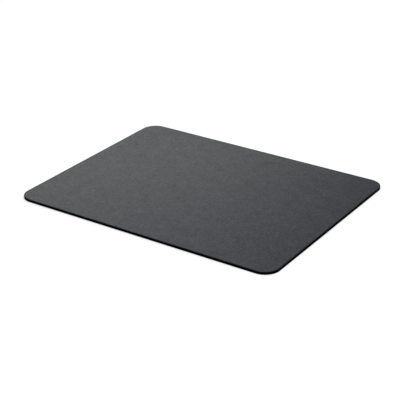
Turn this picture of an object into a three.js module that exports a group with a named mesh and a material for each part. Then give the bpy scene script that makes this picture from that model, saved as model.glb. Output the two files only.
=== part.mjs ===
import * as THREE from "three";
import { toCreasedNormals } from "three/addons/utils/BufferGeometryUtils.js";

// Mouse pad: a die-cut laminate of face cloth, bonding film and foam rubber.
// Millimetres, +Z up. The origin is the centre of the face that lies on the desk,
// X runs along the long side and Y along the short side.

// Plan of the blank that the cutting die leaves
const PAD_LENGTH = 230;
const PAD_WIDTH = 180;
const CORNER_RADIUS = 12.5;

// Layers, from the desk up
const RUBBER_THICKNESS = 1.6;
const FILM_THICKNESS = 0.1;
const CLOTH_THICKNESS = 0.3;

// Rubber base: its moulded skin turns up into a cut wall that draws in at mid height,
// because the foam is squeezed flat while the knife passes through it
const FOOT_ROUND = 0.2;
const WAIST_DEPTH = 0.12;

// Bonding film: its edge shrinks back a little from the cut
const FILM_SETBACK = 0.06;

// Face cloth: the knife presses it down over a narrow border and leaves a short cut face
const ROLL_WIDTH = 0.55;
const ROLL_DROP = 0.14;

// Fineness of the curves, as counts of steps
const CORNER_STEPS = 20;
const FOOT_STEPS = 3;
const WAIST_STEPS = 6;
const ROLL_STEPS = 5;

// Edges that turn more sharply than this are shaded as creases
const CREASE_ANGLE = THREE.MathUtils.degToRad(40);

const RUBBER_FINISH = { color: 0x0e0e0f, roughness: 0.85, metalness: 0 };
const FILM_FINISH = { color: 0x1b1c1d, roughness: 0.5, metalness: 0 };
const CLOTH_FINISH = { color: 0x505256, roughness: 0.8, metalness: 0 };

const QUARTER_TURN = Math.PI / 2;

// Where a curve stands at each of its steps, from 0 to 1
function shares(steps) {
  return Array.from({ length: steps + 1 }, (_, step) => step / steps);
}

// The blank's outline, drawn in by inset all round, as points that run anticlockwise
function outline(inset) {
  const centreX = PAD_LENGTH / 2 - CORNER_RADIUS;
  const centreY = PAD_WIDTH / 2 - CORNER_RADIUS;
  const centres = [
    [centreX, centreY],
    [-centreX, centreY],
    [-centreX, -centreY],
    [centreX, -centreY],
  ];
  const radius = CORNER_RADIUS - inset;
  return centres.flatMap(([x, y], corner) => {
    const start = corner * QUARTER_TURN;
    const arc = new THREE.EllipseCurve(x, y, radius, radius, start, start + QUARTER_TURN);
    return arc.getPoints(CORNER_STEPS);
  });
}

// A closed sheet. Its edge passes through stations, from the underside up,
// and each station is a height and an inset from the blank's outline.
function sheet(stations) {
  const rings = stations.map(({ inset, height }) =>
    outline(inset).map((point) => [point.x, point.y, height]),
  );
  const around = rings[0].length;
  const faces = [];
  for (let ring = 0; ring + 1 < rings.length; ring++) {
    for (let step = 0; step < around; step++) {
      const here = ring * around + step;
      const next = ring * around + ((step + 1) % around);
      faces.push(here, next, next + around);
      faces.push(here, next + around, here + around);
    }
  }
  const top = (rings.length - 1) * around;
  for (const [a, b, c] of THREE.ShapeUtils.triangulateShape(outline(0), [])) {
    faces.push(c, b, a);
    faces.push(top + a, top + b, top + c);
  }
  const geometry = new THREE.BufferGeometry();
  geometry.setAttribute("position", new THREE.Float32BufferAttribute(rings.flat(2), 3));
  geometry.setIndex(faces);
  return toCreasedNormals(geometry, CREASE_ANGLE);
}

// Foam rubber base: flat underside, quarter-round foot, cut wall with a shallow waist
function rubberBase() {
  const foot = shares(FOOT_STEPS).map((share) => ({
    inset: FOOT_ROUND * (1 - Math.sin(share * QUARTER_TURN)),
    height: FOOT_ROUND * (1 - Math.cos(share * QUARTER_TURN)),
  }));
  const wallHeight = RUBBER_THICKNESS - FOOT_ROUND;
  const wall = shares(WAIST_STEPS)
    .slice(1)
    .map((share) => ({
      inset: WAIST_DEPTH * Math.sin(share * Math.PI),
      height: FOOT_ROUND + wallHeight * share,
    }));
  return sheet([...foot, ...wall]);
}

// Bonding film: a plain sheet of even thickness
function bondingFilm() {
  return sheet([
    { inset: FILM_SETBACK, height: 0 },
    { inset: FILM_SETBACK, height: FILM_THICKNESS },
  ]);
}

// Face cloth: flat underside, short cut face, and a border that curves down to it
function faceCloth() {
  const cutFace = CLOTH_THICKNESS - ROLL_DROP;
  const border = shares(ROLL_STEPS).map((share) => ({
    inset: ROLL_WIDTH * (1 - Math.cos(share * QUARTER_TURN)),
    height: cutFace + ROLL_DROP * Math.sin(share * QUARTER_TURN),
  }));
  return sheet([{ inset: 0, height: 0 }, ...border]);
}

// One layer of the laminate, lifted to its own height
function layer(name, geometry, finish, height) {
  const mesh = new THREE.Mesh(geometry, new THREE.MeshStandardMaterial(finish));
  mesh.name = name;
  mesh.position.z = height;
  return mesh;
}

const filmHeight = RUBBER_THICKNESS;
const clothHeight = filmHeight + FILM_THICKNESS;

const pad = new THREE.Group();
pad.add(layer("rubber_base", rubberBase(), RUBBER_FINISH, 0));
pad.add(layer("bonding_film", bondingFilm(), FILM_FINISH, filmHeight));
pad.add(layer("face_cloth", faceCloth(), CLOTH_FINISH, clothHeight));

export default pad;
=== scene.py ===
import math

import bmesh
import bpy
from mathutils import Matrix, Vector, noise
from mathutils.geometry import delaunay_2d_cdt


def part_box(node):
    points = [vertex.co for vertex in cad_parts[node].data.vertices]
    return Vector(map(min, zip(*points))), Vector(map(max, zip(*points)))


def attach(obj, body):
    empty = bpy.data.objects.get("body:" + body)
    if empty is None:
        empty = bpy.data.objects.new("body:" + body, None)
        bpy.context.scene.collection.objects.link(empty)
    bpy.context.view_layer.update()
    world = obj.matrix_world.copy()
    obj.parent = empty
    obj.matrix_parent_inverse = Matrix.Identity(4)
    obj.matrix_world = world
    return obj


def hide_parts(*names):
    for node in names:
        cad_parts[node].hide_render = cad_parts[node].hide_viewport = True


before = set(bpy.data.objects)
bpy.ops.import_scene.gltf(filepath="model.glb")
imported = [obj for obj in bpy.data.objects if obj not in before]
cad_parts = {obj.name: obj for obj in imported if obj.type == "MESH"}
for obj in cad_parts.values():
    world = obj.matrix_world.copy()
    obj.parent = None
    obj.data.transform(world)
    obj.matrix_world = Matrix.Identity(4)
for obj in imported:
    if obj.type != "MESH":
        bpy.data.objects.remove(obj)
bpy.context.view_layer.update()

bl_info = {
    "name": "Laminated Mouse Pad",
    "version": (1, 0, 0),
    "blender": (4, 5, 0),
    "location": "View3D > Sidebar > Mouse Pad",
    "description": "Builds a die-cut mouse pad of face cloth, bonding film and foam rubber",
    "category": "Add Mesh",
}

# Everything is in metres, +Z up, with the origin at the centre of the face on the desk
MM = 0.001

BODY = "root"

# Two places closer than this are one place
TOUCH = 0.001 * MM


def corner_radius_of(node):
    """The radius of a packed layer's corners: how far its short side stops before the corner."""
    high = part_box(node)[1]
    short_side = [v.co.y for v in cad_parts[node].data.vertices if v.co.x > high.x - TOUCH]
    return high.y - max(short_side)


class LayerPlace:
    """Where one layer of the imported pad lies: its half length, half width, underside and top."""

    def __init__(self, node):
        low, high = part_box(node)
        self.half_length = high.x
        self.half_width = high.y
        self.underside = low.z
        self.top = high.z


RUBBER = LayerPlace("rubber_base")
FILM = LayerPlace("bonding_film")
CLOTH = LayerPlace("face_cloth")
CORNER_RADIUS = corner_radius_of("rubber_base")


class PadSizes(bpy.types.PropertyGroup):
    """Sizes of the pad's edge, its cloth and its grip pattern."""

    corner_radius: bpy.props.FloatProperty(
        name="Corner radius",
        description="Radius of the cutting die at the four corners",
        default=CORNER_RADIUS,
        subtype="DISTANCE",
        unit="LENGTH",
    )
    edge_step: bpy.props.FloatProperty(
        name="Edge step",
        description="Distance between the points that follow the cut edge",
        default=1.0 * MM,
        subtype="DISTANCE",
        unit="LENGTH",
    )
    knife_wander: bpy.props.FloatProperty(
        name="Knife wander",
        description="How far the cut edge wanders in from the die's line",
        default=0.03 * MM,
        subtype="DISTANCE",
        unit="LENGTH",
    )
    roll_width: bpy.props.FloatProperty(
        name="Pressed border width",
        description="Width of the border where the knife presses the cloth down",
        default=0.55 * MM,
        subtype="DISTANCE",
        unit="LENGTH",
    )
    roll_drop: bpy.props.FloatProperty(
        name="Pressed border drop",
        description="How far the border curves down to the cut face of the cloth",
        default=0.14 * MM,
        subtype="DISTANCE",
        unit="LENGTH",
    )
    cloth_ripple: bpy.props.FloatProperty(
        name="Cloth ripple",
        description="Depth of the broad hollows where the foam under the cloth is a little softer",
        default=0.02 * MM,
        subtype="DISTANCE",
        unit="LENGTH",
    )
    thread_pitch: bpy.props.FloatProperty(
        name="Thread pitch",
        description="Distance from one thread of the face cloth to the next",
        default=0.5 * MM,
        subtype="DISTANCE",
        unit="LENGTH",
    )
    film_setback: bpy.props.FloatProperty(
        name="Film setback",
        description="How far the bonding film's edge shrinks back from the cut",
        default=0.06 * MM,
        subtype="DISTANCE",
        unit="LENGTH",
    )
    wall_waist: bpy.props.FloatProperty(
        name="Wall waist",
        description="How far the cut foam draws in at half its height",
        default=0.12 * MM,
        subtype="DISTANCE",
        unit="LENGTH",
    )
    foot_round: bpy.props.FloatProperty(
        name="Foot round",
        description="Radius of the rubber's lower edge",
        default=0.2 * MM,
        subtype="DISTANCE",
        unit="LENGTH",
    )
    grip_pitch: bpy.props.FloatProperty(
        name="Grip pitch",
        description="Distance between the grooves of the grip pattern",
        default=3.5 * MM,
        subtype="DISTANCE",
        unit="LENGTH",
    )
    grip_groove: bpy.props.FloatProperty(
        name="Grip groove width",
        description="Width of each groove of the grip pattern",
        default=0.6 * MM,
        subtype="DISTANCE",
        unit="LENGTH",
    )
    grip_depth: bpy.props.FloatProperty(
        name="Grip groove depth",
        description="Depth of each groove of the grip pattern",
        default=0.12 * MM,
        subtype="DISTANCE",
        unit="LENGTH",
    )
    grip_angle: bpy.props.FloatProperty(
        name="Grip angle",
        description="Angle between the short side and each set of grooves",
        default=math.radians(32),
        subtype="ANGLE",
        unit="ROTATION",
    )
    foam_cell: bpy.props.FloatProperty(
        name="Foam cell",
        description="Size of the foam's cells where the knife has opened them",
        default=0.25 * MM,
        subtype="DISTANCE",
        unit="LENGTH",
    )


class PadColours(bpy.types.PropertyGroup):
    """Colours of the pad's layers and of the floor."""

    cloth: bpy.props.FloatVectorProperty(
        name="Face cloth",
        description="Mean colour of the woven face",
        default=(0.077, 0.0815, 0.086),
        min=0,
        max=1,
        subtype="COLOR",
    )
    cloth_cut: bpy.props.FloatVectorProperty(
        name="Cut cloth",
        description="Colour of the thread ends at the cut edge",
        default=(0.003, 0.003, 0.0032),
        min=0,
        max=1,
        subtype="COLOR",
    )
    film: bpy.props.FloatVectorProperty(
        name="Bonding film",
        description="Colour of the adhesive at the cut edge",
        default=(0.0035, 0.0035, 0.0037),
        min=0,
        max=1,
        subtype="COLOR",
    )
    foam: bpy.props.FloatVectorProperty(
        name="Cut foam",
        description="Colour of the foam rubber where the knife has passed",
        default=(0.0025, 0.0025, 0.0027),
        min=0,
        max=1,
        subtype="COLOR",
    )
    skin: bpy.props.FloatVectorProperty(
        name="Rubber skin",
        description="Colour of the moulded underside",
        default=(0.011, 0.011, 0.012),
        min=0,
        max=1,
        subtype="COLOR",
    )
    floor: bpy.props.FloatVectorProperty(
        name="Floor",
        description="Colour of the table under the pad",
        default=(0.8, 0.8, 0.8),
        min=0,
        max=1,
        subtype="COLOR",
    )


def pad_sizes():
    """The sizes that the scene's panel shows."""
    return bpy.context.scene.pad_sizes


def pad_colours():
    """The colours that the scene's panel shows."""
    return bpy.context.scene.pad_colours


# The cut edge

# The signs of x and y at the four corners, anticlockwise
CORNERS = ((1, 1), (-1, 1), (-1, -1), (1, -1))
QUARTER_TURN = math.pi / 2
# Over what distance the knife wanders in and out
WANDER_WAVE = 5 * MM
# What makes the triangulation keep only what lies inside its border
KEEP_INSIDE = 1


def uneven_share(place, wave):
    """A share from 0 to 1 that drifts from place to place over about one wave."""
    return 0.5 + 0.5 * noise.noise(place / wave)


def evenly(start, end, step):
    """Places from start to end, both included, about step apart."""
    count = max(1, round((end - start).length / step))
    return [start.lerp(end, share / count) for share in range(count + 1)]


def cut_line(sizes):
    """The die's line, anticlockwise, as pairs of a point and the way out of the pad there."""
    radius = sizes.corner_radius
    centres = [
        Vector((x * (RUBBER.half_length - radius), y * (RUBBER.half_width - radius)))
        for x, y in CORNERS
    ]
    arc_steps = round(QUARTER_TURN * radius / sizes.edge_step)
    line = []
    for corner, centre in enumerate(centres):
        for step in range(arc_steps + 1):
            angle = (corner + step / arc_steps) * QUARTER_TURN
            out = Vector((math.cos(angle), math.sin(angle)))
            line.append((centre + out * radius, out))
        start = line[-1][0]
        end = centres[(corner + 1) % len(centres)] + out * radius
        line += [(point, out) for point in evenly(start, end, sizes.edge_step)[1:-1]]
    return line


def edge_ring(line, inset, height, wander):
    """One ring of points round the edge. It stands in from the line, and wanders further in."""
    ring = []
    for point, out in line:
        place = Vector((point.x, point.y, height))
        shift = out * (inset + wander * uneven_share(place, WANDER_WAVE))
        ring.append(place - Vector((shift.x, shift.y, 0)))
    return ring


def lattice_inside(sizes, pitch):
    """Points a pitch apart over the pad's face, clear of its edge by half a pitch."""
    half_x = RUBBER.half_length - pitch / 2
    half_y = RUBBER.half_width - pitch / 2
    corner = sizes.corner_radius
    columns = evenly(Vector((-half_x, 0)), Vector((half_x, 0)), pitch)
    rows = evenly(Vector((0, -half_y)), Vector((0, half_y)), pitch)
    points = []
    for column in columns:
        for row in rows:
            point = column + row
            past_x = max(0, abs(point.x) - RUBBER.half_length + corner)
            past_y = max(0, abs(point.y) - RUBBER.half_width + corner)
            if math.hypot(past_x, past_y) < corner - pitch / 2:
                points.append(point)
    return points


def fill_ring(verts, faces, first, count, inner, height, facing_up):
    """Fills the ring of count vertices that starts at first, and adds the inner points."""
    border = [verts[first + step].to_2d() for step in range(count)]
    given = border + inner
    placed, _, triangles, origins, _, _ = delaunay_2d_cdt(
        given, [], [list(range(count))], KEEP_INSIDE, TOUCH
    )
    index_of = {}
    for made, origin in enumerate(origins):
        if origin and origin[0] < count:
            index_of[made] = first + origin[0]
        else:
            index_of[made] = len(verts)
            verts.append(Vector((placed[made].x, placed[made].y, height(placed[made]))))
    for triangle in triangles:
        corners = [index_of[made] for made in triangle]
        faces.append(corners if facing_up else corners[::-1])


def lofted_sheet(name, line, stations, inner, top_height):
    """A closed sheet from its underside up. Each station of its edge is an inset, a height
    and how far it wanders, and top_height gives the height of its top at a point."""
    verts = []
    for inset, height, wander in stations:
        verts += edge_ring(line, inset, height, wander)
    around = len(line)
    faces = []
    for ring in range(len(stations) - 1):
        for step in range(around):
            here = ring * around + step
            following = ring * around + (step + 1) % around
            faces.append((here, following, following + around, here + around))
    underside = stations[0][1]
    last = (len(stations) - 1) * around
    for vert in verts[last:]:
        vert.z = top_height(vert)
    fill_ring(verts, faces, 0, around, inner, lambda point: underside, False)
    fill_ring(verts, faces, last, around, inner, top_height, True)
    mesh = bpy.data.meshes.new(name)
    mesh.from_pydata(verts, [], faces)
    mesh.validate()
    return mesh


def soften(mesh, crease):
    """Smooth shading, but for edges that turn by more than the crease angle."""
    mesh.shade_smooth()
    mesh.set_sharp_from_angle(angle=crease)


# Shading

# The mean of Blender's noise
NOISE_MIDDLE = 0.5


class NodeBench:
    """Adds nodes to one tree and joins them by their sockets."""

    def __init__(self, tree):
        self.tree = tree

    def add(self, kind, inputs=(), **settings):
        """A node of that kind. Each input is a value, or a socket to link."""
        node = self.tree.nodes.new(kind)
        for name, value in settings.items():
            setattr(node, name, value)
        for key, value in dict(inputs).items():
            if isinstance(value, bpy.types.NodeSocket):
                self.tree.links.new(value, node.inputs[key])
            else:
                node.inputs[key].default_value = value
        return node

    def maths(self, operation, *values):
        """The result of a Math node."""
        return self.add("ShaderNodeMath", enumerate(values), operation=operation).outputs[0]

    def clamped(self, operation, *values):
        """The result of a Math node, kept from 0 to 1."""
        node = self.add(
            "ShaderNodeMath", enumerate(values), operation=operation, use_clamp=True
        )
        return node.outputs[0]

    def vector(self, operation, *values):
        """The vector that a Vector Math node gives."""
        node = self.add("ShaderNodeVectorMath", enumerate(values), operation=operation)
        return node.outputs["Vector"]

    def scaled(self, vector, factor):
        """A vector or colour times a number."""
        inputs = {"Vector": vector, "Scale": factor}
        return self.add("ShaderNodeVectorMath", inputs, operation="SCALE").outputs["Vector"]

    def length(self, vector):
        """The length of a vector."""
        return self.add("ShaderNodeVectorMath", {0: vector}, operation="LENGTH").outputs["Value"]

    def split(self, vector):
        """The three parts of a vector."""
        return self.add("ShaderNodeSeparateXYZ", {0: vector}).outputs

    def join(self, x, y, z):
        """A vector from three parts."""
        return self.add("ShaderNodeCombineXYZ", {0: x, 1: y, 2: z}).outputs[0]

    def blend(self, factor, at_zero, at_one):
        """A number between two others."""
        node = self.add("ShaderNodeMix", {0: factor, 2: at_zero, 3: at_one}, data_type="FLOAT")
        return node.outputs[0]

    def noise(self, vector, scale=1, detail=0):
        """The outputs of a Noise Texture node. They lie round NOISE_MIDDLE."""
        inputs = {"Vector": vector, "Scale": scale, "Detail": detail}
        return self.add("ShaderNodeTexNoise", inputs).outputs

    def drift(self, pattern):
        """How far a noise is from its middle."""
        return self.maths("SUBTRACT", pattern, NOISE_MIDDLE)

    def swing(self, drift, contrast):
        """A tone near 1 that follows a drift by that contrast."""
        return self.maths("MULTIPLY_ADD", drift, contrast, 1)


def shader_group(name, inputs, outputs, wire):
    """A shader node group with those sockets. wire takes a bench and the group's inputs by name,
    and returns its outputs by name. It is built once, and reused after that."""
    if name in bpy.data.node_groups:
        return bpy.data.node_groups[name]
    tree = bpy.data.node_groups.new(name, "ShaderNodeTree")
    for label, kind, default in inputs:
        socket = tree.interface.new_socket(label, in_out="INPUT", socket_type=kind)
        if default is not None:
            socket.default_value = default
    for label, kind in outputs:
        tree.interface.new_socket(label, in_out="OUTPUT", socket_type=kind)
    bench = NodeBench(tree)
    entry = tree.nodes.new("NodeGroupInput")
    results = wire(bench, {socket.name: socket for socket in entry.outputs if socket.name})
    leave = tree.nodes.new("NodeGroupOutput")
    for label, socket in results.items():
        tree.links.new(socket, leave.inputs[label])
    return tree


FLOAT = "NodeSocketFloat"
VECTOR = "NodeSocketVector"

# How far threads stray from their place in the weave, in thread pitches, and over what distance
STRAY_SHARE = 0.35
STRAY_WAVE = 4 * MM
# A thread's section is a parabola: 1 in its middle, and this times the square of the way off it
ROUND_FALL = -4
# How much of a thread's height is its own roundness. The rest is its way over and under the others
ROUND_SHARE = 0.5
# How little two neighbouring threads have in common, and the layers that keep warp and weft apart
NEIGHBOUR_STEP = 1.37
WARP_LAYER = 0.5
WEFT_LAYER = 7.5
# Fibres across one thread, and how many of them it twists past in one pitch
FIBRE_COUNT = 6
TWIST = 2.5


def wire_threads(bench, across, along, side):
    """The number of the thread at a place, and its height there. The places across and along
    the threads are in pitches, and side says which way they pass the first thread of the others."""
    thread = bench.maths("ROUND", across)
    off = bench.maths("SUBTRACT", across, thread)
    square = bench.maths("MULTIPLY", off, off)
    roundness = bench.maths("MULTIPLY_ADD", square, ROUND_FALL, 1)
    phase = bench.maths("MULTIPLY", bench.maths("ADD", along, thread), math.pi)
    # The cosine runs from -1 to 1, and the way over and under from 0 to 1
    way = bench.maths("MULTIPLY_ADD", bench.maths("COSINE", phase), side / 2, 1 / 2)
    return thread, bench.blend(ROUND_SHARE, way, roundness)


def wire_plain_weave(bench, given):
    """Threads over and under each other, each with slubs along its length and twisted fibres."""
    position = given["Position"]
    pitch = given["Thread Pitch"]
    stray = bench.noise(position, scale=1 / STRAY_WAVE, detail=1)["Color"]
    stray = bench.vector("SUBTRACT", stray, (NOISE_MIDDLE, NOISE_MIDDLE, NOISE_MIDDLE))
    stray = bench.scaled(stray, STRAY_SHARE)
    threads = bench.scaled(position, bench.maths("DIVIDE", 1, pitch))
    threads = bench.vector("ADD", threads, stray)
    x, y, _ = bench.split(threads)
    warp_thread, warp = wire_threads(bench, x, y, 1)
    weft_thread, weft = wire_threads(bench, y, x, -1)
    warp_on_top = bench.maths("GREATER_THAN", warp, weft)
    thread = bench.blend(warp_on_top, weft_thread, warp_thread)
    across = bench.blend(warp_on_top, y, x)
    along = bench.blend(warp_on_top, x, y)
    layer = bench.blend(warp_on_top, WEFT_LAYER, WARP_LAYER)
    place = bench.maths("MULTIPLY", thread, NEIGHBOUR_STEP)
    slub = bench.maths("MULTIPLY", along, bench.maths("DIVIDE", pitch, given["Slub Length"]))
    twisted = bench.maths("MULTIPLY", along, TWIST)
    fibre = bench.maths("MULTIPLY_ADD", across, FIBRE_COUNT, twisted)
    return {
        "Height": bench.maths("MAXIMUM", warp, weft),
        "Thread Tone": bench.noise(bench.join(place, slub, layer), detail=1)[0],
        "Fibre": bench.noise(bench.join(fibre, along, layer))[0],
    }


def plain_weave():
    """The node group that draws a plain weave."""
    return shader_group(
        "Plain weave",
        [
            ("Position", VECTOR, None),
            ("Thread Pitch", FLOAT, MM),
            ("Slub Length", FLOAT, MM),
        ],
        [("Height", FLOAT), ("Thread Tone", FLOAT), ("Fibre", FLOAT)],
        wire_plain_weave,
    )


def wire_uneven_tone(bench, given):
    """Patches a size across, a little lighter and darker than 1."""
    scale = bench.maths("DIVIDE", 1, given["Patch Size"])
    patch = bench.noise(given["Position"], scale, detail=2)[0]
    return {"Tone": bench.swing(bench.drift(patch), given["Contrast"])}


def uneven_tone():
    """The node group that makes a surface a little uneven in tone."""
    return shader_group(
        "Uneven tone",
        [
            ("Position", VECTOR, None),
            ("Patch Size", FLOAT, MM),
            ("Contrast", FLOAT, 0),
        ],
        [("Tone", FLOAT)],
        wire_uneven_tone,
    )


def wire_near_the_cut(bench, given):
    """1 on the die's line, falling to 0 at the reach inside it."""
    radius = given["Corner Radius"]
    x, y, _ = bench.split(given["Position"])
    past_x = bench.maths("SUBTRACT", bench.maths("ABSOLUTE", x), given["Half Length"])
    past_y = bench.maths("SUBTRACT", bench.maths("ABSOLUTE", y), given["Half Width"])
    past_x = bench.maths("ADD", past_x, radius)
    past_y = bench.maths("ADD", past_y, radius)
    outside = bench.join(bench.maths("MAXIMUM", past_x, 0), bench.maths("MAXIMUM", past_y, 0), 0)
    inside = bench.maths("MINIMUM", bench.maths("MAXIMUM", past_x, past_y), 0)
    distance = bench.maths("SUBTRACT", bench.maths("ADD", bench.length(outside), inside), radius)
    share = bench.maths("DIVIDE", distance, given["Reach"])
    return {"Nearness": bench.clamped("ADD", share, 1)}


def near_the_cut():
    """The node group that says how near a place is to the cut edge."""
    return shader_group(
        "Near the cut",
        [
            ("Position", VECTOR, None),
            ("Half Length", FLOAT, RUBBER.half_length),
            ("Half Width", FLOAT, RUBBER.half_width),
            ("Corner Radius", FLOAT, CORNER_RADIUS),
            ("Reach", FLOAT, MM),
        ],
        [("Nearness", FLOAT)],
        wire_near_the_cut,
    )


# What brings the distance from a cell's middle to 1 at its walls
CELL_STRETCH = 1.4


def wire_foam_cells(bench, given):
    """Open cells: a rounded pit in each, and thin walls between them."""
    scale = bench.maths("DIVIDE", 1, given["Cell Size"])
    inputs = {"Vector": given["Position"], "Scale": scale}
    cells = bench.add("ShaderNodeTexVoronoi", inputs, feature="SMOOTH_F1")
    return {"Wall": bench.clamped("MULTIPLY", cells.outputs["Distance"], CELL_STRETCH)}


def foam_cells():
    """The node group that draws cut foam, cut thread ends or a fine moulded grain."""
    return shader_group(
        "Foam cells",
        [("Position", VECTOR, None), ("Cell Size", FLOAT, MM)],
        [("Wall", FLOAT)],
        wire_foam_cells,
    )


class Finish:
    """One material of the pad: its bench, its shader, and the place on the pad that it colours."""

    def __init__(self, name):
        self.material = bpy.data.materials.new(name)
        self.material.use_nodes = True
        tree = self.material.node_tree
        self.bench = NodeBench(tree)
        self.shader = tree.nodes["Principled BSDF"]
        self.position = self.bench.add("ShaderNodeTexCoord").outputs["Object"]

    def effect(self, group, **inputs):
        """The outputs of one of the node groups. Its sockets are named with _ for a space."""
        node = self.bench.add("ShaderNodeGroup", node_tree=group)
        self.bench.tree.links.new(self.position, node.inputs["Position"])
        for name, value in inputs.items():
            node.inputs[name.replace("_", " ")].default_value = value
        return node.outputs

    def set(self, **values):
        """Sets or links the shader's own sockets, named with _ for a space."""
        for name, value in values.items():
            socket = self.shader.inputs[name.replace("_", " ")]
            if isinstance(value, bpy.types.NodeSocket):
                self.bench.tree.links.new(value, socket)
            else:
                socket.default_value = value

    def relief(self, height, depth):
        """A bump of that depth from a height of 0 to 1."""
        inputs = {"Height": height, "Distance": depth, "Strength": 1.0}
        bump = self.bench.add("ShaderNodeBump", inputs)
        self.set(Normal=bump.outputs["Normal"])

    def tinted(self, colour, *tones):
        """A colour times each of the tones."""
        tinted = self.bench.vector("MULTIPLY", tuple(colour), (1, 1, 1))
        for tone in tones:
            tinted = self.bench.scaled(tinted, tone)
        return tinted


# How much the tone differs from thread to thread and from fibre to fibre
THREAD_CONTRAST_SHARE = 1.5
FIBRE_CONTRAST_SHARE = 0.5
# The small and the broad patches of the cloth, and how much their tone differs
MOTTLE_SIZE = 1.1 * MM
MOTTLE_CONTRAST_SHARE = 0.5
CLOUD_SIZE = 9 * MM
CLOUD_CONTRAST_SHARE = 0.28
# How long a thicker or paler stretch of a thread is
SLUB_LENGTH = 2.2 * MM
# How high the threads stand out, and how much the fibres add to that
WEAVE_DEPTH = 0.06 * MM
FIBRE_RELIEF_SHARE = 0.15
# Painted shade in the deepest gap between the threads and painted highlight on top of them, as tones
# next to the mean tone
GAP_SHADE_SHARE = 0.25
CROWN_HIGHLIGHT_SHARE = 1.25
# How far in from the cut the painted shade of the pressed border reaches, and the power by which it
# fades
BORDER_SHADE_REACH = 1.0 * MM
BORDER_SHADE_FADE = 0.2


def heathered(finish, weave):
    """The colour of the face: by its threads and fibres, by patches of it, and with painted shade in
    the weave's gaps and a painted highlight on its crowns.
    """
    bench = finish.bench
    threads = bench.swing(bench.drift(weave["Thread Tone"]), THREAD_CONTRAST_SHARE)
    fibres = bench.swing(bench.drift(weave["Fibre"]), FIBRE_CONTRAST_SHARE)
    # Painted shade in the gaps between the threads and painted highlight on their crowns, by the
    # weave's height
    weave_gap_shade_and_crown_highlight = bench.blend(weave["Height"], GAP_SHADE_SHARE, CROWN_HIGHLIGHT_SHARE)
    patches = []
    for size, contrast in (
        (MOTTLE_SIZE, MOTTLE_CONTRAST_SHARE),
        (CLOUD_SIZE, CLOUD_CONTRAST_SHARE),
    ):
        patch = finish.effect(uneven_tone(), Patch_Size=size, Contrast=contrast)
        patches.append(patch["Tone"])
    return finish.tinted(pad_colours().cloth, threads, fibres, weave_gap_shade_and_crown_highlight, *patches)


def painted_border_shade(finish, face):
    """The colour of the face, with painted shade darkening it near the cut."""
    bench = finish.bench
    nearness = finish.effect(near_the_cut(), Reach=BORDER_SHADE_REACH)["Nearness"]
    # Painted shade along the pressed border, towards the colour of the cut cloth
    pressed = bench.maths("POWER", nearness, BORDER_SHADE_FADE)
    dark = (*pad_colours().cloth_cut, 1)
    inputs = {"Factor": pressed, "A": face, "B": dark}
    return bench.add("ShaderNodeMix", inputs, data_type="RGBA").outputs["Result"]


def woven_cloth():
    """Matte polyester cloth: plain weave, heather along the threads, painted shade and highlight in
    the weave, painted shade at the pressed border.
    """
    pitch = pad_sizes().thread_pitch
    finish = Finish("woven_face_cloth")
    weave = finish.effect(plain_weave(), Thread_Pitch=pitch, Slub_Length=SLUB_LENGTH)
    finish.set(
        Base_Color=painted_border_shade(finish, heathered(finish, weave)),
        Roughness=0.85,
        Specular_IOR_Level=0.04,
        Sheen_Weight=0.04,
        Sheen_Roughness=0.5,
    )
    bench = finish.bench
    fibres = bench.drift(weave["Fibre"])
    height = bench.maths("MULTIPLY_ADD", fibres, FIBRE_RELIEF_SHARE, weave["Height"])
    finish.relief(height, WEAVE_DEPTH)
    return finish.material


# How far apart the ends of the cut threads are, and how deep the gaps between them
THREAD_END_SIZE = 0.18 * MM
THREAD_END_DEPTH = 0.04 * MM


def cut_cloth():
    """The ends of the threads where the knife has passed: dark, matte and ragged, with painted shade
    in the gaps between them.
    """
    finish = Finish("cut_face_cloth")
    ends = finish.effect(foam_cells(), Cell_Size=THREAD_END_SIZE)["Wall"]
    # Painted shade in the gaps between the thread ends, darkest where the relief lies lowest
    finish.set(
        Base_Color=finish.tinted(pad_colours().cloth_cut, ends),
        Roughness=1.0,
        Specular_IOR_Level=0.0,
    )
    finish.relief(ends, THREAD_END_DEPTH)
    return finish.material


# The patches of the film's cut edge, and how much their tone differs
FILM_PATCH_SIZE = 1.5 * MM
FILM_CONTRAST_SHARE = 0.5


def adhesive():
    """Hot-melt film at the cut: smooth and a little glossy."""
    finish = Finish("bonding_adhesive")
    patches = finish.effect(
        uneven_tone(), Patch_Size=FILM_PATCH_SIZE, Contrast=FILM_CONTRAST_SHARE
    )
    finish.set(
        Base_Color=finish.tinted(pad_colours().film, patches["Tone"]),
        Roughness=0.55,
        Specular_IOR_Level=0.05,
    )
    return finish.material


# How deep the cells are that the knife has opened
CELL_DEPTH = 0.06 * MM
# How thin the walls between them are, as a power, and how much paler than the foam's own colour the
# painted highlight on them is; the pits get painted shade
CELL_WALL_POWER = 4
CELL_WALL_HIGHLIGHT_GAIN = 3.5


def cut_foam():
    """Black foam rubber with the knife's cut through its cells: painted shade in the pits and a
    painted highlight on the thin walls.
    """
    finish = Finish("cut_foam_rubber")
    walls = finish.effect(foam_cells(), Cell_Size=pad_sizes().foam_cell)["Wall"]
    # Painted shade in the pits and a painted highlight on the walls
    thin_wall_highlight = finish.bench.maths("POWER", walls, CELL_WALL_POWER)
    finish.set(
        Base_Color=finish.tinted(pad_colours().foam, thin_wall_highlight, CELL_WALL_HIGHLIGHT_GAIN),
        Roughness=1.0,
        Specular_IOR_Level=0.0,
    )
    finish.relief(walls, CELL_DEPTH)
    return finish.material


# The grain that the mould leaves on the underside
GRAIN_SIZE = 0.12 * MM
GRAIN_DEPTH = 0.01 * MM
# The patches of its grey bloom, and how much their tone differs
BLOOM_SIZE = 18 * MM
BLOOM_CONTRAST_SHARE = 0.8


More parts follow.
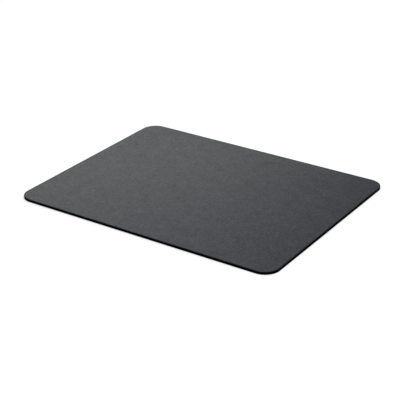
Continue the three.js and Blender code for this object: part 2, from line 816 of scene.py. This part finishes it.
def moulded_skin():
    """The underside: black rubber with the fine grain of its mould and a faint grey bloom."""
    finish = Finish("moulded_rubber_skin")
    grain = finish.effect(foam_cells(), Cell_Size=GRAIN_SIZE)["Wall"]
    bloom = finish.effect(uneven_tone(), Patch_Size=BLOOM_SIZE, Contrast=BLOOM_CONTRAST_SHARE)
    finish.set(
        Base_Color=finish.tinted(pad_colours().skin, bloom["Tone"]),
        Roughness=0.7,
        Specular_IOR_Level=0.35,
    )
    finish.relief(grain, GRAIN_DEPTH)
    return finish.material


# Pieces

# How far apart the points are inside the cloth's face, and inside faces that lie flat or hidden
FACE_LATTICE = 4 * MM
HIDDEN_LATTICE = 12 * MM
# Over what distance the cloth's face rises and falls
RIPPLE_WAVE = 26 * MM
# Rings of faces along the rolled border, the rounded foot and the cut wall
ROLL_STEPS = 6
FOOT_STEPS = 4
WALL_STEPS = 10
# Edges that turn by more than these angles stay sharp, on the sheets and on the rubber base
CREASE = math.radians(38)
GRIP_CREASE = math.radians(12)
# How far the stock and the die's body stand past each other
OVERCUT = 1 * MM
# Where the finish of the cloth's cut, and that of the moulded underside, stand in their lists
SECOND_FINISH = 1
# Faces whose normal rises or falls less than this belong to the cloth's cut
STEEP = 0.5
# Faces whose normal falls more than this belong to the moulded underside
FACING_DOWN = -0.8

# The cloth's map for baking: its name, and sizes as shares of the whole picture
BAKED_MAP = "OFBake"
MAP_MARGIN = 0.004
UNDERSIDE_MAP_SHARE = 0.2
EDGE_MAP_HEIGHT = 0.012


def place_piece(name, mesh, node):
    """Adds the piece, which rides on the pad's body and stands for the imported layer."""
    piece = bpy.data.objects.new(name, mesh)
    bpy.context.scene.collection.objects.link(piece)
    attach(piece, BODY)
    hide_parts(node)
    return piece


def lay_out_cloth(mesh, cut_top):
    """The map through which the cloth is baked: its face as large as fits, and above that its hidden
    underside, much smaller, and its cut edge, rolled out straight."""
    layer = mesh.uv_layers.new(name=BAKED_MAP)
    face_scale = (1 - 2 * MAP_MARGIN) / (2 * CLOTH.half_length)
    face_height = 2 * CLOTH.half_width * face_scale
    underside_base = face_height + 2 * MAP_MARGIN
    underside_scale = face_scale * UNDERSIDE_MAP_SHARE
    edge_base = 1 - MAP_MARGIN - EDGE_MAP_HEIGHT
    edge_scale = EDGE_MAP_HEIGHT / (cut_top - CLOTH.underside)
    for face in mesh.polygons:
        middle = math.atan2(face.center.y, face.center.x)
        for loop in face.loop_indices:
            co = mesh.vertices[mesh.loops[loop].vertex_index].co
            x = co.x + CLOTH.half_length
            y = co.y + CLOTH.half_width
            if face.material_index == SECOND_FINISH:
                turn = math.atan2(co.y, co.x)
                turn += math.tau * round((middle - turn) / math.tau)
                along = MAP_MARGIN + (1 - 2 * MAP_MARGIN) * (turn / math.tau + 1 / 2)
                place = (along, edge_base + (co.z - CLOTH.underside) * edge_scale)
            elif face.normal.z < 0:
                place = (MAP_MARGIN + x * underside_scale, underside_base + y * underside_scale)
            else:
                place = (MAP_MARGIN + x * face_scale, MAP_MARGIN + y * face_scale)
            layer.uv[loop].vector = place


def build_face_cloth():
    """The face cloth: its border rolls down to a short cut face, and its top is nearly flat."""
    sizes = pad_sizes()
    line = cut_line(sizes)
    cut_top = CLOTH.top - sizes.roll_drop
    wander = sizes.knife_wander
    stations = [(0, CLOTH.underside, wander)]
    for step in range(ROLL_STEPS + 1):
        angle = QUARTER_TURN * step / ROLL_STEPS
        inset = sizes.roll_width * (1 - math.cos(angle))
        height = cut_top + sizes.roll_drop * math.sin(angle)
        stations.append((inset, height, wander * math.cos(angle)))

    def top_height(point):
        hollow = uneven_share(Vector((point.x, point.y, 0)), RIPPLE_WAVE)
        return CLOTH.top - sizes.cloth_ripple * hollow

    inner = lattice_inside(sizes, FACE_LATTICE)
    mesh = lofted_sheet("face_cloth_mesh", line, stations, inner, top_height)
    mesh.materials.append(woven_cloth())
    mesh.materials.append(cut_cloth())
    for face in mesh.polygons:
        on_cut_face = face.center.z < cut_top and abs(face.normal.z) < STEEP
        face.material_index = SECOND_FINISH if on_cut_face else 0
    lay_out_cloth(mesh, cut_top)
    soften(mesh, CREASE)
    return place_piece("woven_face_cloth", mesh, "face_cloth")


def build_bonding_film():
    """The bonding film: an even sheet whose edge stands back from the cut."""
    sizes = pad_sizes()
    line = cut_line(sizes)
    wander = sizes.knife_wander
    stations = [
        (sizes.film_setback, FILM.underside, wander),
        (sizes.film_setback, FILM.top, wander),
    ]
    inner = lattice_inside(sizes, HIDDEN_LATTICE)
    mesh = lofted_sheet("bonding_film_mesh", line, stations, inner, lambda point: FILM.top)
    mesh.materials.append(adhesive())
    soften(mesh, CREASE)
    return place_piece("adhesive_film", mesh, "bonding_film")


def groove_lines(sizes):
    """The sides and the bottom of each groove in one set, as pairs of a place and a depth."""
    slope = sizes.grip_angle
    reach = RUBBER.half_length * math.cos(slope) + RUBBER.half_width * math.sin(slope)
    count = math.ceil((reach + OVERCUT) / sizes.grip_pitch)
    half_groove = sizes.grip_groove / 2
    lines = []
    for groove in range(-count, count + 1):
        middle = groove * sizes.grip_pitch
        lines += [(middle - half_groove, 0), (middle, sizes.grip_depth), (middle + half_groove, 0)]
    return lines


def grip_underside(sizes):
    """The underside of the stock, where the two sets of slanting grooves cross."""
    slope = sizes.grip_angle
    lines = groove_lines(sizes)
    verts = []
    for along, depth_along in lines:
        for across, depth_across in lines:
            x = (along + across) / (2 * math.cos(slope))
            y = (along - across) / (2 * math.sin(slope))
            verts.append((x, y, RUBBER.underside + max(depth_along, depth_across)))
    side = len(lines)
    faces = []
    for row in range(side - 1):
        for column in range(side - 1):
            here = row * side + column
            faces.append((here, here + 1, here + side + 1, here + side))
    mesh = bpy.data.meshes.new("grip_stock_mesh")
    mesh.from_pydata(verts, [], faces)
    return mesh


def grip_stock(sizes):
    """Rubber stock, wider than the pad, with the grip pattern moulded underneath."""
    mesh = grip_underside(sizes)
    bm = bmesh.new()
    bm.from_mesh(mesh)
    border = [edge for edge in bm.edges if edge.is_boundary]
    raised = bmesh.ops.extrude_edge_only(bm, edges=border)["geom"]
    for vert in raised:
        if isinstance(vert, bmesh.types.BMVert):
            vert.co.z = RUBBER.top + OVERCUT
    rim = [edge for edge in raised if isinstance(edge, bmesh.types.BMEdge) and edge.is_boundary]
    bmesh.ops.edgeloop_fill(bm, edges=rim)
    bmesh.ops.recalc_face_normals(bm, faces=bm.faces)
    bm.to_mesh(mesh)
    bm.free()
    return mesh


def die_body(sizes):
    """What the die cuts out of the stock: the pad's outline with its foot, wall and waist."""
    foot = sizes.foot_round
    wander = sizes.knife_wander
    stations = [(foot, RUBBER.underside - OVERCUT, wander)]
    for step in range(FOOT_STEPS + 1):
        angle = QUARTER_TURN * step / FOOT_STEPS
        inset = foot * (1 - math.sin(angle))
        stations.append((inset, RUBBER.underside + foot * (1 - math.cos(angle)), wander))
    wall_height = RUBBER.top - RUBBER.underside - foot
    for step in range(1, WALL_STEPS + 1):
        share = step / WALL_STEPS
        inset = sizes.wall_waist * math.sin(share * math.pi)
        stations.append((inset, RUBBER.underside + foot + wall_height * share, wander))
    inner = lattice_inside(sizes, HIDDEN_LATTICE)
    line = cut_line(sizes)
    return lofted_sheet("die_body_mesh", line, stations, inner, lambda point: RUBBER.top)


def cut_from_stock(stock_mesh, body_mesh):
    """The mesh that is inside both the stock and the die's body."""
    stock = bpy.data.objects.new("stock", stock_mesh)
    body = bpy.data.objects.new("body", body_mesh)
    collection = bpy.context.scene.collection
    collection.objects.link(stock)
    collection.objects.link(body)
    cut = body.modifiers.new("die", "BOOLEAN")
    cut.operation = "INTERSECT"
    cut.solver = "MANIFOLD"
    cut.object = stock
    evaluated = body.evaluated_get(bpy.context.evaluated_depsgraph_get())
    mesh = bpy.data.meshes.new_from_object(evaluated)
    for made in (stock, body):
        bpy.data.objects.remove(made)
    if not mesh.polygons:
        raise RuntimeError("the die cut nothing out of the rubber stock")
    return mesh


def build_rubber_base():
    """The foam rubber base, cut out of embossed stock."""
    sizes = pad_sizes()
    mesh = cut_from_stock(grip_stock(sizes), die_body(sizes))
    mesh.name = "rubber_base_mesh"
    mesh.materials.clear()
    mesh.materials.append(cut_foam())
    mesh.materials.append(moulded_skin())
    skin_top = RUBBER.underside + sizes.grip_depth + TOUCH
    for face in mesh.polygons:
        moulded = face.normal.z < FACING_DOWN and face.center.z < skin_top
        face.material_index = SECOND_FINISH if moulded else 0
    soften(mesh, GRIP_CREASE)
    return place_piece("foam_rubber_base", mesh, "rubber_base")


# Stage

# The lens and the width of the picture behind it, in the millimetres that Blender takes
CAMERA_LENS = 106.14
CAMERA_SENSOR = 36
CAMERA_AZIMUTH = math.radians(33.79)
CAMERA_ELEVATION = math.radians(25.807)
CAMERA_ROLL = math.radians(-0.201)
CAMERA_DISTANCE = 932.3 * MM
# How far the pad's top stands from the middle of the picture, to the right and up
CAMERA_RIGHT = 2.71 * MM
CAMERA_UP = 8.3 * MM

FLOOR_RADIUS = 4.0
FLOOR_SIDES = 96
# The camera sees this share of the floor's matte shading, on top of a glow. The glow is least
# near the place that the lamps light most, and grows to white between these distances from it
FLOOR_SHADING_SHARE = 0.2
BRIGHTEST_PLACE = (-0.125, -0.016, 0)
LEAST_GLOW = 0.82
GLOW_START = 0.037
WHITE_FROM = 0.468
# How near the pad the painted contact shadow fades the glow, and how many rays at a time look for
# the pad
CONTACT_REACH = 1.0 * MM
CONTACT_SAMPLES = 4


class SoftLamp:
    """A square soft lamp: where it stands and aims, its beam in degrees, its watts and colour."""

    # The length of each side
    SIZE = 0.4

    def __init__(self, name, place, aim, beam, power, colour):
        self.name = name
        self.place = Vector(place)
        self.aim = Vector(aim)
        self.beam = math.radians(beam)
        self.power = power
        self.colour = colour


LAMPS = (
    SoftLamp(
        name="rear_softbox",
        place=(-0.115, 0.306, 0.378),
        aim=(-0.162, -0.039, 0),
        beam=60,
        power=0.87,
        colour=(0.99, 1, 0.91),
    ),
    SoftLamp(
        name="front_softbox",
        place=(0.3, -0.361, 0.272),
        aim=(0.224, 0.216, 0),
        beam=180,
        power=1.35,
        colour=(0.82, 0.76, 1),
    ),
)
FILL_STRENGTH = 0.104
FILL_COLOUR = (0.9, 0.95, 1.1)
WHITE = (1, 1, 1, 1)


def white_for_the_eye(bench, seen, lit):
    """Shows one shader to the camera and in mirrors and glass, and lights the scene by the other."""
    path = bench.add("ShaderNodeLightPath").outputs
    direct = bench.maths("MAXIMUM", path["Is Camera Ray"], path["Is Glossy Ray"])
    eye = bench.maths("MAXIMUM", direct, path["Is Transmission Ray"])
    return bench.add("ShaderNodeMixShader", {0: eye, 1: lit, 2: seen}).outputs[0]


def floor_glow(bench):
    """A glow that grows towards white, with a painted contact shadow that fades it beside the pad
    and in the gap under its foot.
    """
    place = bench.add("ShaderNodeTexCoord").outputs["Object"]
    growth = {
        "Value": bench.length(bench.vector("SUBTRACT", place, BRIGHTEST_PLACE)),
        "From Min": GLOW_START,
        "From Max": WHITE_FROM,
        "To Min": LEAST_GLOW,
        "To Max": 1.0,
    }
    strength = bench.add("ShaderNodeMapRange", growth, interpolation_type="SMOOTHSTEP").outputs[0]
    # Painted contact shadow: ambient occlusion fades the glow next to the pad
    painted_contact_shadow = bench.add(
        "ShaderNodeAmbientOcclusion", {"Distance": CONTACT_REACH}, samples=CONTACT_SAMPLES
    )
    strength = bench.maths("MULTIPLY", strength, painted_contact_shadow.outputs["AO"])
    return bench.add("ShaderNodeEmission", {"Strength": strength}).outputs[0]


def floor_finish():
    """Pale and matte. The camera sees it glow, with the pad's shadow left on it and a painted
    contact shadow in the glow.
    """
    material = bpy.data.materials.new("pale_floor")
    material.use_nodes = True
    tree = material.node_tree
    tree.nodes.clear()
    bench = NodeBench(tree)
    colour = Vector(pad_colours().floor)
    matte = bench.add("ShaderNodeBsdfDiffuse", {"Color": (*colour, 1)}).outputs[0]
    faint = (*(colour * FLOOR_SHADING_SHARE), 1)
    shading = bench.add("ShaderNodeBsdfDiffuse", {"Color": faint}).outputs[0]
    seen = bench.add("ShaderNodeAddShader", {0: shading, 1: floor_glow(bench)}).outputs[0]
    surface = white_for_the_eye(bench, seen, matte)
    bench.add("ShaderNodeOutputMaterial", {"Surface": surface})
    return material


def build_floor():
    """A wide round floor under the pad."""
    mesh = bpy.data.meshes.new("floor_mesh")
    bm = bmesh.new()
    bmesh.ops.create_circle(bm, cap_ends=True, segments=FLOOR_SIDES, radius=FLOOR_RADIUS)
    bm.to_mesh(mesh)
    bm.free()
    mesh.materials.append(floor_finish())
    floor = bpy.data.objects.new("floor", mesh)
    bpy.context.scene.collection.objects.link(floor)
    return floor


def build_world():
    """Even fill light, which the camera and reflections see as white."""
    world = bpy.data.worlds.new("studio")
    world.use_nodes = True
    tree = world.node_tree
    tree.nodes.clear()
    bench = NodeBench(tree)
    fill = {"Color": (*FILL_COLOUR, 1), "Strength": FILL_STRENGTH}
    lit = bench.add("ShaderNodeBackground", fill).outputs[0]
    seen = bench.add("ShaderNodeBackground", {"Color": WHITE, "Strength": 1.0}).outputs[0]
    surface = white_for_the_eye(bench, seen, lit)
    bench.add("ShaderNodeOutputWorld", {"Surface": surface})
    bpy.context.scene.world = world
    return world


def build_lamp(soft_lamp):
    """Adds one of the soft lamps, out of the camera's sight."""
    data = bpy.data.lights.new(soft_lamp.name, "AREA")
    data.shape = "SQUARE"
    data.size = SoftLamp.SIZE
    data.spread = soft_lamp.beam
    data.energy = soft_lamp.power
    data.color = soft_lamp.colour
    lamp = bpy.data.objects.new(soft_lamp.name, data)
    lamp.location = soft_lamp.place
    lamp.rotation_euler = (soft_lamp.place - soft_lamp.aim).to_track_quat("Z", "Y").to_euler()
    lamp.visible_camera = False
    bpy.context.scene.collection.objects.link(lamp)
    return lamp


def build_camera():
    """The camera, at the place and with the lens that the edges in the photograph give."""
    data = bpy.data.cameras.new("camera")
    data.lens = CAMERA_LENS
    data.sensor_width = CAMERA_SENSOR
    level = math.cos(CAMERA_ELEVATION)
    back = Vector(
        (
            math.sin(CAMERA_AZIMUTH) * level,
            -math.cos(CAMERA_AZIMUTH) * level,
            math.sin(CAMERA_ELEVATION),
        )
    )
    right = Vector((math.cos(CAMERA_AZIMUTH), math.sin(CAMERA_AZIMUTH), 0))
    up = back.cross(right)
    turn = Matrix((right, up, back)).transposed() @ Matrix.Rotation(CAMERA_ROLL, 3, "Z")
    offset = turn @ Vector((-CAMERA_RIGHT, -CAMERA_UP, CAMERA_DISTANCE))
    camera = bpy.data.objects.new("camera", data)
    camera.matrix_world = Matrix.Translation(Vector((0, 0, CLOTH.top)) + offset) @ turn.to_4x4()
    bpy.context.scene.collection.objects.link(camera)
    bpy.context.scene.camera = camera
    return camera


class MOUSE_PAD_OT_face_cloth(bpy.types.Operator):
    """Add the woven face cloth with its pressed border"""

    bl_idname = "mouse_pad.face_cloth"
    bl_label = "Face Cloth"

    def execute(self, context):
        cloth = build_face_cloth()
        return {"FINISHED"}


class MOUSE_PAD_OT_bonding_film(bpy.types.Operator):
    """Add the adhesive film between the cloth and the rubber"""

    bl_idname = "mouse_pad.bonding_film"
    bl_label = "Bonding Film"

    def execute(self, context):
        build_bonding_film()
        return {"FINISHED"}


class MOUSE_PAD_OT_rubber_base(bpy.types.Operator):
    """Add the foam rubber base with its moulded grip pattern"""

    bl_idname = "mouse_pad.rubber_base"
    bl_label = "Rubber Base"

    def execute(self, context):
        build_rubber_base()
        return {"FINISHED"}


class MOUSE_PAD_OT_stage(bpy.types.Operator):
    """Add the floor, the lamps, the world and the camera"""

    bl_idname = "mouse_pad.stage"
    bl_label = "Stage"

    def execute(self, context):
        build_floor()
        build_world()
        for soft_lamp in LAMPS:
            build_lamp(soft_lamp)
        build_camera()
        context.scene.view_settings.view_transform = "Standard"
        return {"FINISHED"}


class VIEW3D_PT_mouse_pad(bpy.types.Panel):
    """Lists the pad's pieces, sizes and colours."""

    bl_label = "Mouse Pad"
    bl_space_type = "VIEW_3D"
    bl_region_type = "UI"
    bl_category = "Mouse Pad"

    def draw(self, context):
        layout = self.layout
        for operator in PIECE_OPERATORS:
            layout.operator(operator.bl_idname)
        for group in (context.scene.pad_sizes, context.scene.pad_colours):
            box = layout.box()
            for name in group.bl_rna.properties.keys():
                if name not in ("rna_type", "name"):
                    box.prop(group, name)


PIECE_OPERATORS = (
    MOUSE_PAD_OT_stage,
    MOUSE_PAD_OT_rubber_base,
    MOUSE_PAD_OT_bonding_film,
    MOUSE_PAD_OT_face_cloth,
)
CLASSES = (PadSizes, PadColours, *PIECE_OPERATORS, VIEW3D_PT_mouse_pad)


def register():
    """Registers the classes and gives the scene its sizes and colours."""
    for cls in CLASSES:
        bpy.utils.register_class(cls)
    bpy.types.Scene.pad_sizes = bpy.props.PointerProperty(type=PadSizes)
    bpy.types.Scene.pad_colours = bpy.props.PointerProperty(type=PadColours)


def unregister():
    """Takes back what register added."""
    del bpy.types.Scene.pad_colours
    del bpy.types.Scene.pad_sizes
    for cls in reversed(CLASSES):
        bpy.utils.unregister_class(cls)


def main():
    """Builds the stage and every piece."""
    register()
    bpy.ops.mouse_pad.stage()
    bpy.ops.mouse_pad.rubber_base()
    bpy.ops.mouse_pad.bonding_film()
    bpy.ops.mouse_pad.face_cloth()


if __name__ == "__main__":
    main()
